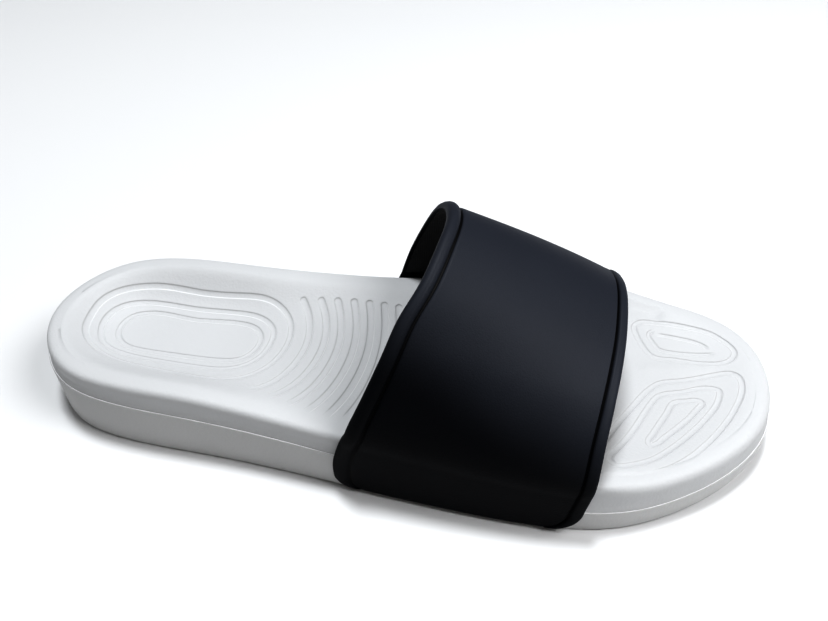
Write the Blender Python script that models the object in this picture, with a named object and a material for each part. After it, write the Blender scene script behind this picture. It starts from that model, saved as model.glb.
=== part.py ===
"""A slide sandal for the right foot: outsole, footbed and one wide strap.

Lengths are metres. The toe points along +X, the big-toe side along +Y, and the sole stands on Z = 0.
"""
from collections import namedtuple
import math

import bmesh
import bpy
import numpy as np
from mathutils import Matrix

# Sizes of the sole
SOLE_LENGTH = 0.285          # heel to toe, along the upper wall
BALL_WIDTH = 0.1077          # across the ball, both sides together
RIM_HEIGHT = 0.031           # highest edge of the footbed, at the waist
RIM_BLEND = 0.020            # from the sole's axis to where each side's own rim height holds
LEDGE_HEIGHT = 0.0216        # parting ledge at the heel
BED_HEIGHT = 0.026           # highest part of the footbed's middle, at the arch
TOE_OFFSET = 0.006           # how far the toe's tip lies to the big-toe side
TOE_SPRING = 0.0057
TOE_SPRING_START = 0.222     # where the tread leaves the floor
HEEL_BEVEL = 0.0031
HEEL_BEVEL_END = 0.020       # where the tread meets the floor
LEDGE_STEP = 0.0012          # how far the lower band stands proud of the upper wall
LEDGE_ROUND = 0.0009
TREAD_ROUND = 0.0007
SHOULDER_RADIUS = 0.0060
POCKET_INSET = 0.0060        # wall of the outsole round the pocket that holds the footbed
POCKET_DEPTH = 0.0050
ARCH_RISE = 0.0015           # lift of the footbed under the foot's arch
ARCH_ACROSS = (0.1, 0.75)    # shares of the half width where the lift starts and is full
ARCH_ALONG = (0.24, 0.38, 0.46, 0.60)    # shares of the length where it starts, is full, fades and ends
CUP_WIDTH = 0.036            # width over which the footbed rises to its edge all round
CUP_POWER = 3.2              # how steeply it turns up there
SEAM_GAP = 0.0003            # between outsole and footbed, and between strap and sole

# Sizes of the hollow along the arch side
CHANNEL_DEPTH = 0.0030
CHANNEL_START = 0.060
CHANNEL_END = 0.129
CHANNEL_FADE = 0.014

# Sizes of the tread's cross channels
TREAD_DEPTH = 0.0020
TREAD_CHANNEL = 0.0040       # width of one channel
TREAD_PITCH = 0.0135
TREAD_MARGIN = 0.010         # uncut rim of the tread
HEEL_TREAD_START = 0.030
HEEL_TREAD_COUNT = 4
BALL_TREAD_START = 0.150
BALL_TREAD_COUNT = 6

# Sizes of the strap
STRAP_REAR = 0.1315          # rear edge at the sole's edge
STRAP_LEAN = 0.0284          # how far the rear edge leans forward at its top
STRAP_FRONT = 0.219          # front edge at the sole's outer edge
STRAP_BOW = 0.0070           # how far the front edge bows forward
INSTEP_HEIGHT = 0.0787       # inside of the strap at its rear edge
FRONT_HEIGHT = 0.0536        # inside of the strap at its front edge
STRAP_WALL = 0.0025
FLAP_FLOOR = 0.0020          # lower edge of the flaps
FLAP_REAR_RADIUS = 0.0050
FLAP_FRONT_RADIUS = 0.0090
BEAD_WIDTH = 0.0046
BEAD_RISE = 0.0010
GROOVE_WIDTH = 0.0012
GROOVE_DEPTH = 0.0004
FRONT_RIM_WIDTH = 0.0029
FRONT_RIM_RISE = 0.0005
SEAT_REACH = 0.0100          # how far the seat's cutter runs out past the wall
SEAT_TURN = 0.22             # share of the way round the strap that the cutter reaches from a flap

# Fineness of the meshes
SIDE_POINTS = 44
BED_POINTS = 14
STRAP_TURN = 52
STRAP_CROWD = 0.11           # how much closer together its rows lie down the flaps
STRAP_PANEL = 7

# Shares of SOLE_LENGTH along, and of BALL_WIDTH to the little-toe and big-toe sides
Outline = namedtuple("Outline", "along lateral medial")
OUTLINE = (
    Outline(0.018, 0.158, 0.175),
    Outline(0.070, 0.294, 0.309),
    Outline(0.140, 0.351, 0.355),
    Outline(0.246, 0.378, 0.346),
    Outline(0.368, 0.409, 0.331),
    Outline(0.491, 0.453, 0.351),
    Outline(0.596, 0.486, 0.415),
    Outline(0.702, 0.507, 0.483),
    Outline(0.789, 0.491, 0.493),
    Outline(0.877, 0.398, 0.430),
    Outline(0.940, 0.278, 0.368),
    Outline(0.982, 0.137, 0.262),
)

# Shares of SOLE_LENGTH along, and of RIM_HEIGHT, LEDGE_HEIGHT and BED_HEIGHT
Level = namedtuple("Level", "along medial_rim lateral_rim ledge bed")
LEVELS = (
    Level(0.000, 0.958, 0.958, 1.005, 0.827),
    Level(0.070, 0.968, 0.972, 0.995, 0.796),
    Level(0.160, 0.981, 0.988, 0.972, 0.788),
    Level(0.250, 0.994, 0.982, 0.940, 0.815),
    Level(0.330, 1.003, 0.926, 0.889, 0.885),
    Level(0.420, 1.000, 0.862, 0.819, 0.955),
    Level(0.500, 0.971, 0.828, 0.750, 0.940),
    Level(0.630, 0.884, 0.784, 0.602, 0.838),
    Level(0.720, 0.800, 0.752, 0.500, 0.758),
    Level(0.785, 0.738, 0.732, 0.451, 0.727),
    Level(0.830, 0.703, 0.657, 0.435, 0.704),
    Level(0.900, 0.671, 0.635, 0.463, 0.692),
    Level(1.000, 0.658, 0.658, 0.560, 0.720),
)

# Rings up the footbed's wall: share of the way from ledge to shoulder, and share of CHANNEL_DEPTH
Wall = namedtuple("Wall", "up hollow")
WALLS = (
    Wall(0.00, 0.85),
    Wall(0.25, 1.00),
    Wall(0.55, 0.90),
    Wall(0.80, 0.45),
)

# The strap from the little-toe flap over the foot to the big-toe flap.
# Along is a share of STRAP_LEAN or STRAP_BOW, across runs from -1 to 1 between the sole's two sides.
# Up is a share of the way from the sole's rim to the strap's top, or below 0 from the rim to FLAP_FLOOR.
Fold = namedtuple("Fold", "rear_along rear_across rear_up front_along front_across front_up")
FOLDS = (
    Fold(-0.15, -1.000, -1.000, -0.50, -1.000, -1.000),
    Fold(-0.15, -1.000, -0.600, -0.46, -1.000, -0.600),
    Fold(-0.05, -1.000, -0.200, -0.26, -1.000, -0.200),
    Fold(0.07, -0.998, 0.060, -0.11, -0.990, 0.100),
    Fold(0.25, -0.890, 0.302, 0.03, -0.885, 0.425),
    Fold(0.45, -0.695, 0.557, 0.32, -0.690, 0.675),
    Fold(0.60, -0.469, 0.730, 0.61, -0.475, 0.825),
    Fold(0.81, -0.205, 0.872, 0.83, -0.237, 0.930),
    Fold(0.95, 0.120, 0.975, 0.93, 0.020, 0.995),
    Fold(1.00, 0.370, 1.000, 0.93, 0.220, 0.955),
    Fold(0.93, 0.610, 0.945, 0.88, 0.420, 0.805),
    Fold(0.76, 0.825, 0.780, 0.83, 0.600, 0.610),
    Fold(0.55, 0.955, 0.505, 0.88, 0.780, 0.340),
    Fold(0.35, 0.995, 0.213, 0.97, 0.935, 0.090),
    Fold(0.18, 1.000, -0.150, 1.05, 1.000, -0.150),
    Fold(0.10, 1.000, -0.600, 1.05, 1.000, -0.600),
    Fold(0.08, 1.000, -1.000, 1.05, 1.000, -1.000),
)


def column(rows, name):
    """One named column of a table as an array."""
    return np.array([getattr(row, name) for row in rows])


def smooth_curve(knots, values, places):
    """A smooth curve through values at knots, read at places."""
    knots = np.asarray(knots, float)
    values = np.asarray(values, float)
    slopes = np.gradient(values, knots)
    places = np.clip(places, knots[0], knots[-1])
    k = np.clip(np.searchsorted(knots, places) - 1, 0, len(knots) - 2)
    width = knots[k + 1] - knots[k]
    t = (places - knots[k]) / width
    start = (1 + 2 * t) * (1 - t) ** 2 * values[k] + t * (1 - t) ** 2 * width * slopes[k]
    end = t ** 2 * (3 - 2 * t) * values[k + 1] + t ** 2 * (t - 1) * width * slopes[k + 1]
    return start + end


def ramp(value, start, end):
    """0 before start, 1 after end, and a soft step between them."""
    t = np.clip((value - start) / (end - start), 0, 1)
    return t * t * (3 - 2 * t)


def closed_spline(points, places):
    """A closed cubic spline through points, read at places counted in points."""
    n = len(points)
    steps = np.linalg.norm(np.roll(points, -1, 0) - points, axis=1)
    before = np.roll(steps, 1)
    system = np.zeros((n, n))
    for i in range(n):
        system[i, i - 1] += steps[i]
        system[i, i] += 2 * (steps[i] + before[i])
        system[i, (i + 1) % n] += before[i]
    back = (points - np.roll(points, 1, 0)) / before[:, None]
    ahead = (np.roll(points, -1, 0) - points) / steps[:, None]
    slopes = np.linalg.solve(system, 3 * (steps[:, None] * back + before[:, None] * ahead))
    k = np.floor(places).astype(int) % n
    t = (places - np.floor(places))[:, None]
    following = (k + 1) % n
    width = steps[k][:, None]
    start = (1 + 2 * t) * (1 - t) ** 2 * points[k] + t * (1 - t) ** 2 * width * slopes[k]
    end = t ** 2 * (3 - 2 * t) * points[following] + t ** 2 * (t - 1) * width * slopes[following]
    return start + end


def resample(points, count):
    """The same open line with count equal steps."""
    steps = np.linalg.norm(np.diff(points, axis=0), axis=1)
    run = np.concatenate([[0], np.cumsum(steps)])
    places = np.linspace(0, run[-1], count + 1)
    return np.column_stack([np.interp(places, run, points[:, 0]), np.interp(places, run, points[:, 1])])


def outline_sides(count):
    """Both sides of the sole from heel to toe, each with count steps."""
    along = column(OUTLINE, "along") * SOLE_LENGTH
    lateral = np.column_stack([along, -column(OUTLINE, "lateral") * BALL_WIDTH])
    medial = np.column_stack([along, column(OUTLINE, "medial") * BALL_WIDTH])
    knots = np.vstack([[0, 0], lateral, [SOLE_LENGTH, TOE_OFFSET], medial[::-1]])
    toe = len(OUTLINE) + 1
    fine = np.linspace(0, 1, 600)
    lateral_line = closed_spline(knots, fine * toe)
    medial_line = closed_spline(knots, toe + (1 - fine) * toe)
    return resample(lateral_line, count), resample(medial_line, count)


LATERAL, MEDIAL = outline_sides(SIDE_POINTS)
LATERAL_FINE, MEDIAL_FINE = outline_sides(SIDE_POINTS * 6)


def side_y(side, x):
    """How far across a side of the sole lies at x."""
    order = np.argsort(side[:, 0])
    return np.interp(x, side[order, 0], side[order, 1])


def outline_loop():
    """The outline as one closed loop with its outward normals."""
    points = np.vstack([LATERAL, MEDIAL[-2:0:-1]])
    ahead = np.roll(points, -1, 0) - np.roll(points, 1, 0)
    ahead /= np.linalg.norm(ahead, axis=1)[:, None]
    return points, np.column_stack([ahead[:, 1], -ahead[:, 0]])


def level_height(name, x, size):
    return smooth_curve(column(LEVELS, "along") * SOLE_LENGTH, column(LEVELS, name) * size, x)


def rim_z(x):
    return level_height("medial_rim", x, RIM_HEIGHT)


def edge_z(x, y):
    """Height of the footbed's edge, lower along the little-toe side's waist than along the big-toe side's."""
    lateral = level_height("lateral_rim", x, RIM_HEIGHT)
    return rim_z(x) + (lateral - rim_z(x)) * ramp(-y, -RIM_BLEND, RIM_BLEND)


def ledge_z(x):
    return level_height("ledge", x, LEDGE_HEIGHT)


def tread_z(x):
    """Height of the tread: flat on the floor, up at the toe and bevelled at the heel."""
    spring = np.clip((x - TOE_SPRING_START) / (SOLE_LENGTH - TOE_SPRING_START), 0, 1.1)
    bevel = np.clip((HEEL_BEVEL_END - x) / HEEL_BEVEL_END, 0, 1.1)
    return TOE_SPRING * spring ** 2 + HEEL_BEVEL * bevel ** 2


def bed_z(place, share):
    """Height of the footbed at a place, where share runs from -1 to 1 across it."""
    x = place[0]
    edge_line = np.vstack([LATERAL_FINE, MEDIAL_FINE])
    inside = np.linalg.norm(edge_line - place[:2], axis=1).min() - SHOULDER_RADIUS
    edge = np.clip(1 - inside / CUP_WIDTH, 0, 1)
    start, full, fade, end = ARCH_ALONG
    along = x / SOLE_LENGTH
    arch = ramp(along, start, full) * (1 - ramp(along, fade, end)) * ramp(share, *ARCH_ACROSS)
    middle = level_height("bed", x, BED_HEIGHT) + ARCH_RISE * arch
    return middle + (edge_z(x, place[1]) - middle) * edge ** CUP_POWER


def hollow_share(points):
    """1 along the arch side's hollow and 0 away from it."""
    x = points[:, 0]
    window = ramp(x, CHANNEL_START, CHANNEL_START + CHANNEL_FADE)
    window = window * (1 - ramp(x, CHANNEL_END - CHANNEL_FADE, CHANNEL_END))
    return np.where(points[:, 1] > 0, window, 0)


def solid_object(name, vertices, faces, collection):
    """A mesh object with its faces pointing out."""
    mesh = bpy.data.meshes.new(name)
    mesh.from_pydata([tuple(v) for v in vertices], [], faces)
    solid = bmesh.new()
    solid.from_mesh(mesh)
    bmesh.ops.recalc_face_normals(solid, faces=solid.faces)
    solid.to_mesh(mesh)
    solid.free()
    thing = bpy.data.objects.new(name, mesh)
    collection.objects.link(thing)
    return thing


def ring_faces(below, above, count):
    return [(below + i, below + (i + 1) % count, above + (i + 1) % count, above + i) for i in range(count)]


def grid_faces(rows):
    """Quads between neighbouring rows of vertex numbers."""
    faces = []
    for row, after in zip(rows[:-1], rows[1:]):
        for k in range(len(row) - 1):
            faces.append((row[k], after[k], after[k + 1], row[k + 1]))
    return faces


def cap_faces(rows, heel, toe):
    """A grid of rows across the sole, closed by fans at heel and toe."""
    faces = grid_faces(rows)
    faces += [(heel, rows[0][k], rows[0][k + 1]) for k in range(len(rows[0]) - 1)]
    faces += [(toe, rows[-1][k + 1], rows[-1][k]) for k in range(len(rows[-1]) - 1)]
    return faces


def sole_solid(name, rings, top_height, collection):
    """A closed solid through rings that follow the outline, with a top of a given height across it."""
    count = len(rings[0])
    vertices = [v for ring in rings for v in ring]
    faces = []
    for k in range(len(rings) - 1):
        faces += ring_faces(k * count, (k + 1) * count, count)
    bottom_rows = [(j, count - j) for j in range(1, SIDE_POINTS)]
    faces += cap_faces(bottom_rows, 0, SIDE_POINTS)
    first = (len(rings) - 1) * count
    across = BED_POINTS if top_height else 1
    top_rows = []
    for j in range(1, SIDE_POINTS):
        left = rings[-1][j]
        right = rings[-1][count - j]
        row = [first + j]
        for k in range(1, across):
            share = 2 * k / across - 1
            place = left + (right - left) * k / across
            row.append(len(vertices))
            vertices.append(np.array([place[0], place[1], top_height(place, share)]))
        row.append(first + count - j)
        top_rows.append(row)
    faces += cap_faces(top_rows, first, first + SIDE_POINTS)
    return solid_object(name, vertices, faces, collection)


def ring(points, normals, offset, height):
    moved = points + normals * np.broadcast_to(offset, len(points))[:, None]
    return np.column_stack([moved, np.broadcast_to(height, len(points))])


def make_outsole(collection):
    """The lower band with its tread, and a pocket that holds the footbed."""
    points, normals = outline_loop()
    x = points[:, 0]
    rings = []
    for turn in np.radians([0, 30, 60, 90]):
        inset = TREAD_ROUND * (1 - math.sin(turn))
        height = tread_z(x) + TREAD_ROUND * (1 - math.cos(turn))
        rings.append(ring(points, normals, LEDGE_STEP - inset, height))
    for turn in np.radians([0, 45, 90]):
        inset = LEDGE_ROUND * (1 - math.cos(turn))
        height = ledge_z(x) - LEDGE_ROUND * (1 - math.sin(turn))
        rings.append(ring(points, normals, LEDGE_STEP - inset, height))
    rings.append(ring(points, normals, -POCKET_INSET, ledge_z(x)))
    rings.append(ring(points, normals, -POCKET_INSET, ledge_z(x) - POCKET_DEPTH))
    return sole_solid("outsole", rings, None, collection)


def make_footbed(collection):
    """The upper sole: plug, walls with the arch hollow, round shoulder and dished bed."""
    points, normals = outline_loop()
    x = points[:, 0]
    foot = ledge_z(x) + SEAM_GAP
    shoulder = edge_z(x, points[:, 1]) - SHOULDER_RADIUS
    hollow = hollow_share(points) * CHANNEL_DEPTH
    plug = -POCKET_INSET - SEAM_GAP
    rings = [ring(points, normals, plug, foot - POCKET_DEPTH), ring(points, normals, plug, foot)]
    for wall in WALLS:
        rings.append(ring(points, normals, -hollow * wall.hollow, foot + (shoulder - foot) * wall.up))
    for turn in np.radians([0, 22, 45, 68, 90]):
        inset = SHOULDER_RADIUS * (1 - math.cos(turn))
        rings.append(ring(points, normals, -inset, shoulder + SHOULDER_RADIUS * math.sin(turn)))
    return sole_solid("footbed", rings, bed_z, collection)


def make_tread_cutter(collection):
    """Blocks that cut the tread's cross channels."""
    starts = [HEEL_TREAD_START + TREAD_PITCH * k for k in range(HEEL_TREAD_COUNT)]
    starts += [BALL_TREAD_START + TREAD_PITCH * k for k in range(BALL_TREAD_COUNT)]
    blocks = bmesh.new()
    for x in starts:
        sample = np.array([x, x + TREAD_CHANNEL])
        left = side_y(LATERAL_FINE, sample).max() + TREAD_MARGIN
        right = side_y(MEDIAL_FINE, sample).min() - TREAD_MARGIN
        floor = float(tread_z(sample[0]))
        size = Matrix.Diagonal((TREAD_CHANNEL, right - left, 2 * TREAD_DEPTH, 1))
        place = Matrix.Translation((x + TREAD_CHANNEL / 2, (left + right) / 2, floor))
        bmesh.ops.create_cube(blocks, size=1, matrix=place @ size)
    mesh = bpy.data.meshes.new("tread_channels")
    blocks.to_mesh(mesh)
    blocks.free()
    cutter = bpy.data.objects.new("tread_channels", mesh)
    collection.objects.link(cutter)
    return cutter


def fold_place(turn, share):
    """The inside of the strap: turn runs from one flap to the other, share from rear edge to front edge."""
    knots = np.linspace(0, 1, len(FOLDS))
    read = {name: smooth_curve(knots, column(FOLDS, name), turn) for name in Fold._fields}
    across = read["rear_across"] + (read["front_across"] - read["rear_across"]) * share
    rear_x = STRAP_REAR + STRAP_LEAN * read["rear_along"]
    front_x = STRAP_FRONT + STRAP_BOW * read["front_along"]
    up_rear = read["rear_up"]
    up_front = read["front_up"]
    up = up_rear + (up_front - up_rear) * share
    middle_x = rear_x + (front_x - rear_x) * share
    rim = rim_z(middle_x)
    drop = rim - FLAP_FLOOR
    above_floor = np.where(up < 0, (1 + up) * drop, drop)
    rear_x = rear_x + corner_inset(above_floor, FLAP_REAR_RADIUS)
    front_x = front_x - corner_inset(above_floor, FLAP_FRONT_RADIUS)
    x = rear_x + (front_x - rear_x) * share
    left = side_y(LATERAL_FINE, x)
    right = side_y(MEDIAL_FINE, x)
    y = (left + right) / 2 + across * (right - left) / 2
    rear_rise = INSTEP_HEIGHT - rim_z(rear_x)
    front_rise = FRONT_HEIGHT - rim_z(front_x)
    rim = rim_z(x)
    over = rim + up_rear * rear_rise * (1 - share) + up_front * front_rise * share
    under = rim + up * (rim - FLAP_FLOOR)
    return np.stack([x, y, np.where(up > 0, over, under)], -1)


def corner_inset(height, radius):
    """How far a corner of this radius steps in at a height above the flap's lower edge."""
    left = np.clip(radius - height, 0, radius)
    return radius - np.sqrt(radius ** 2 - left ** 2)


def strap_grid(turns, shares):
    """Inside points of the strap and their outward normals, a row for each turn."""
    turn, share = np.meshgrid(turns, shares, indexing="ij")
    places = fold_place(turn, share)
    small = 1e-3
    along = fold_place(turn, np.clip(share + small, 0, 1)) - fold_place(turn, np.clip(share - small, 0, 1))
    around = fold_place(np.clip(turn + small, 0, 1), share) - fold_place(np.clip(turn - small, 0, 1), share)
    normals = np.cross(along, around)
    normals /= np.linalg.norm(normals, axis=-1)[..., None]
    return places, normals


def strap_profile():
    """Places along the strap from its rear edge, and how far its outside stands above the wall there."""
    middle_length = STRAP_FRONT + STRAP_BOW - STRAP_REAR - STRAP_LEAN
    bead = BEAD_WIDTH
    rows = [(0.0, -STRAP_WALL / 2), (0.10 * bead, 0.2 * BEAD_RISE), (0.35 * bead, BEAD_RISE)]
    rows += [(0.65 * bead, BEAD_RISE), (0.92 * bead, 0.2 * BEAD_RISE)]
    rows += [(bead + GROOVE_WIDTH / 2, -GROOVE_DEPTH), (bead + GROOVE_WIDTH, 0.0)]
    panel_start = bead + GROOVE_WIDTH
    panel_end = middle_length - FRONT_RIM_WIDTH - GROOVE_WIDTH
    for k in range(1, STRAP_PANEL):
        rows.append((panel_start + (panel_end - panel_start) * k / STRAP_PANEL, 0.0))
    rows += [(panel_end, 0.0), (panel_end + GROOVE_WIDTH / 2, -GROOVE_DEPTH)]
    rows += [(panel_end + GROOVE_WIDTH, FRONT_RIM_RISE), (middle_length - STRAP_WALL / 4, FRONT_RIM_RISE)]
    rows += [(middle_length, -STRAP_WALL / 3)]
    return [along / middle_length for along, rise in rows], [rise for along, rise in rows]


def sheet_solid(name, inner, outer, collection):
    """A closed solid between two grids of points of the same shape."""
    rows, columns = inner.shape[:2]
    vertices = list(inner.reshape(-1, 3)) + list(outer.reshape(-1, 3))
    number = np.arange(rows * columns).reshape(rows, columns)
    lower = number.tolist()
    upper = (number + rows * columns).tolist()
    faces = grid_faces(upper)
    faces += [face[::-1] for face in grid_faces(lower)]
    border = [(i, 0) for i in range(rows)] + [(rows - 1, k) for k in range(1, columns)]
    border += [(i, columns - 1) for i in range(rows - 2, -1, -1)] + [(0, k) for k in range(columns - 2, 0, -1)]
    for (a, b), (c, d) in zip(border, border[1:] + border[:1]):
        faces.append((lower[a][b], lower[c][d], upper[c][d], upper[a][b]))
    return solid_object(name, vertices, faces, collection)


def strap_turns():
    """Places around the strap, closer together down the flaps."""
    even = np.linspace(0, 1, STRAP_TURN + 1)
    return even - STRAP_CROWD * np.sin(2 * math.pi * even)


def make_strap(collection):
    """One hollow strap with a flap down each side, a bead at its rear edge and a flat rim at its front."""
    shares, rises = strap_profile()
    inner, normals = strap_grid(strap_turns(), np.array(shares))
    outer = inner + normals * (STRAP_WALL + np.array(rises))[None, :, None]
    return sheet_solid("strap", inner, outer, collection)


def make_seat_cutters(collection):
    """Blocks in the shape of the flaps, with a seam gap all round, that cut the strap's seats."""
    cutters = []
    turns = strap_turns()
    shares, rises = strap_profile()
    for name, chosen in (("seat_lateral", turns < SEAT_TURN), ("seat_medial", turns > 1 - SEAT_TURN)):
        inner, normals = strap_grid(turns[chosen], np.array(shares))
        inner = inner - normals * SEAM_GAP
        inner[:, 0, 0] -= SEAM_GAP
        inner[:, -1, 0] += SEAM_GAP
        lowest = 0 if chosen[0] else -1
        inner[lowest, :, 2] -= SEAM_GAP
        outer = inner + normals * SEAT_REACH
        cutters.append(sheet_solid(name, inner, outer, collection))
    return cutters


def cut(target, cutter):
    """A cut that keeps both meshes closed."""
    cutter.hide_render = True
    cutter.display_type = "WIRE"
    step = target.modifiers.new(cutter.name, "BOOLEAN")
    step.operation = "DIFFERENCE"
    step.solver = "EXACT"
    step.object = cutter


def colour(thing, name, rgb, roughness):
    """A plain finish for one piece."""
    material = bpy.data.materials.new(name)
    material.use_nodes = True
    surface = material.node_tree.nodes["Principled BSDF"]
    surface.inputs["Base Color"].default_value = (*rgb, 1)
    surface.inputs["Roughness"].default_value = roughness
    surface.inputs["Metallic"].default_value = 0
    thing.data.materials.append(material)
    thing.data.shade_smooth()
    thing.data.set_sharp_from_angle(angle=math.radians(40))


def centre(things, pieces):
    """Moves everything so that the origin is under the middle of the pieces."""
    corners = np.array([tuple(v.co) for piece in pieces for v in piece.data.vertices])
    middle = (corners.min(0) + corners.max(0)) / 2
    shift = Matrix.Translation((-middle[0], -middle[1], -corners[:, 2].min()))
    for thing in things:
        thing.data.transform(shift)


def main():
    for thing in list(bpy.data.objects):
        bpy.data.objects.remove(thing)
    parts = bpy.data.collections.new("slide_sandal")
    cutters = bpy.data.collections.new("cutters")
    for collection in (parts, cutters):
        bpy.context.scene.collection.children.link(collection)
    outsole = make_outsole(parts)
    footbed = make_footbed(parts)
    strap = make_strap(parts)
    tread = make_tread_cutter(cutters)
    seats = make_seat_cutters(cutters)
    centre([outsole, footbed, strap, tread, *seats], [outsole, footbed, strap])
    cut(outsole, tread)
    for seat in seats:
        cut(outsole, seat)
        cut(footbed, seat)
    colour(outsole, "outsole_rubber", (0.70, 0.70, 0.69), 0.60)
    colour(footbed, "footbed_foam", (0.76, 0.77, 0.78), 0.62)
    colour(strap, "strap_black", (0.010, 0.012, 0.018), 0.55)


main()
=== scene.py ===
"""Looks for a slide sandal: moulded foam sole, contoured footbed and one wide black strap."""

from collections import namedtuple
import math

import bpy
from bpy.props import FloatProperty, PointerProperty
from mathutils import Matrix, Vector
from mathutils.kdtree import KDTree
import numpy as np


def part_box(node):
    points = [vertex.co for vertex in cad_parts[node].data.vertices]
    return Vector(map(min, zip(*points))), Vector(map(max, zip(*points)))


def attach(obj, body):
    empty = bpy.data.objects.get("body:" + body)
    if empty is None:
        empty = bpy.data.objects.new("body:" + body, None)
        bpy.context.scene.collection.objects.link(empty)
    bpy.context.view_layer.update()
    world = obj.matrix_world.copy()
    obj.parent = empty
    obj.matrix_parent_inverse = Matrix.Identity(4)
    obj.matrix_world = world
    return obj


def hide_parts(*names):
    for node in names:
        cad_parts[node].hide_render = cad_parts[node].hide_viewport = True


bl_info = {
    "name": "Slide sandal looks",
    "version": (1, 0, 0),
    "blender": (4, 5, 0),
    "location": "3D View > Sidebar > Sandal",
    "description": "Builds the visible surfaces, finishes and studio of a slide sandal",
    "category": "Object",
}

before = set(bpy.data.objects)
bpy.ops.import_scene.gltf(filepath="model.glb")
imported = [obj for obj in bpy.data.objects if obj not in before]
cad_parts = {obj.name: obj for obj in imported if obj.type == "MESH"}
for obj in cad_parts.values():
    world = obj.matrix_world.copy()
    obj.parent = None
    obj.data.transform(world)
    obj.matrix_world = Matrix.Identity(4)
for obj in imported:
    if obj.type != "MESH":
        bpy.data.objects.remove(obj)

# Lengths are in metres where no comment says otherwise. The sole's own frame has the heel at X = 0; the
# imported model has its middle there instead.
SOLE_LENGTH = 0.285
BALL_WIDTH = 0.1077
RIM_HEIGHT = 0.031
RIM_BLEND = 0.020            # from the sole's axis to where each side's own rim height holds
LEDGE_HEIGHT = 0.0216
BED_HEIGHT = 0.026
TOE_OFFSET = 0.006
TOE_SPRING = 0.0057
TOE_SPRING_START = 0.222
HEEL_BEVEL = 0.0031
HEEL_BEVEL_END = 0.020
TREAD_BEYOND = 1.1           # how far the spring and the bevel go on, as a share of their length
LEDGE_STEP = 0.0012
LEDGE_ROUND = 0.0003
TREAD_ROUND = 0.0007
COVE = 0.00075               # flare of the footbed's wall where it meets the ledge
COVE_HEIGHT = 0.0044
SHOULDER_RADIUS = 0.0060
POCKET_INSET = 0.0060        # from the sole's outline in to the pocket that holds the footbed
POCKET_DEPTH = 0.0050
SKIN_GAP = 0.0004            # between the pocket's wall and the footbed's plug
SHOULDER_POWER = 4.5         # 2 is a round shoulder, more is squarer
TOE_POWER = 3.2              # the same at the toe, from TOE_ROUND_END on
TOE_ROUND_START = 0.215
TOE_ROUND_END = 0.233
SHOULDER_TURNS = (0, 2, 6, 12, 20, 28, 36, 45, 54, 62, 70, 78, 84, 88, 90)
ARCH_RISE = 0.0015
ARCH_ACROSS = (0.1, 0.75)    # shares of the sole's half width over which the bed's arch rises
ARCH_ALONG = (0.24, 0.38, 0.46, 0.60)    # shares of SOLE_LENGTH where it starts, is full, fades and ends
CUP_WIDTH = 0.036            # over which the bed rises to its edge all round
CUP_POWER = 6.0              # how steeply it turns up there
FAR_FROM_LIP = 0.01          # stands for no groove near
LIT_LIP = np.array([0.6, -0.8])    # the side of a groove whose lip gets a painted highlight; the lip on the other side gets painted shade
SKIN_SINK = 0.0002           # how far the footbed skin reaches into the ledge
ARCH_WIDER = 0.0003          # how much wider the arched grooves are on each side
TRAIL_NARROWER = 0.0003      # how much narrower the open grooves are on each side
CHANNEL_DEPTH = 0.0030       # of the hollow in the big-toe side's wall
CHANNEL_START = 0.060
CHANNEL_END = 0.129
CHANNEL_FADE = 0.014
TREAD_DEPTH = 0.0020
TREAD_CHANNEL = 0.0040
TREAD_PITCH = 0.0135
TREAD_MARGIN = 0.010         # uncut rim of the tread
TREAD_SOFT = 0.0006          # how softly a channel's edges turn
HEEL_TREAD_START = 0.030
HEEL_TREAD_COUNT = 4
BALL_TREAD_START = 0.150
BALL_TREAD_COUNT = 6
TREAD_STARTS = [HEEL_TREAD_START + TREAD_PITCH * k for k in range(HEEL_TREAD_COUNT)]
TREAD_STARTS += [BALL_TREAD_START + TREAD_PITCH * k for k in range(BALL_TREAD_COUNT)]

STRAP_REAR = 0.1315
STRAP_LEAN = 0.0284
STRAP_FRONT = 0.219
STRAP_BOW = 0.0070
STRAP_LENGTH = STRAP_FRONT + STRAP_BOW - STRAP_REAR - STRAP_LEAN
INSTEP_HEIGHT = 0.0787
FRONT_HEIGHT = 0.0536
STRAP_WALL = 0.0025
FLAP_FLOOR = 0.0020
FLAP_REAR_RADIUS = 0.0050
FLAP_FRONT_RADIUS = 0.0090
BEAD_LOW = 0.35              # share of the rear bead that is left down the flaps
BEAD_TURNS = (0.06, 0.17)    # how far round from a flap's end it starts to grow, and is whole
CREASE_DEPTH = 0.0005        # the strap gets painted shade, darkest, where its grooves are deeper than this
CREASE_MARGIN = 0.0020       # from the strap's own edges
LINING_THICKNESS = 0.0008
LINING_INSET = 0.0011        # from the strap's edges to the lining's
LINING_TURNS = (0.155, 0.845)  # where it starts and ends around the strap
LINING_FADE = 0.02           # share of the way round over which it grows to its thickness

BUMP_UNIT = 0.00025          # height that the foam finish calls 1
SHEEN_LEAN = 0.45            # the strap's painted sheen and its coat grow upwards and, by this share, forwards
SHEEN_START = 0.0535
SHEEN_END = 0.0875
SHEEN_CLOUD = 0.12           # how unevenly it grows
LIP_WIDTH = 0.55             # of the crisp lip, in millimetres
LIP_TURN = 1.4               # how fast a lip's painted highlight and painted shade follow the side it lies on
# how strongly the lit lip of a groove is painted with highlight, and the other lip with shade
LIP_HIGHLIGHT_SHARE = 0.75
LIP_SHADE_SHARE = 0.45
DUST_SHARE = 0.05
OUTSOLE_GRAIN = 1.2          # of the footbed's grain
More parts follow.
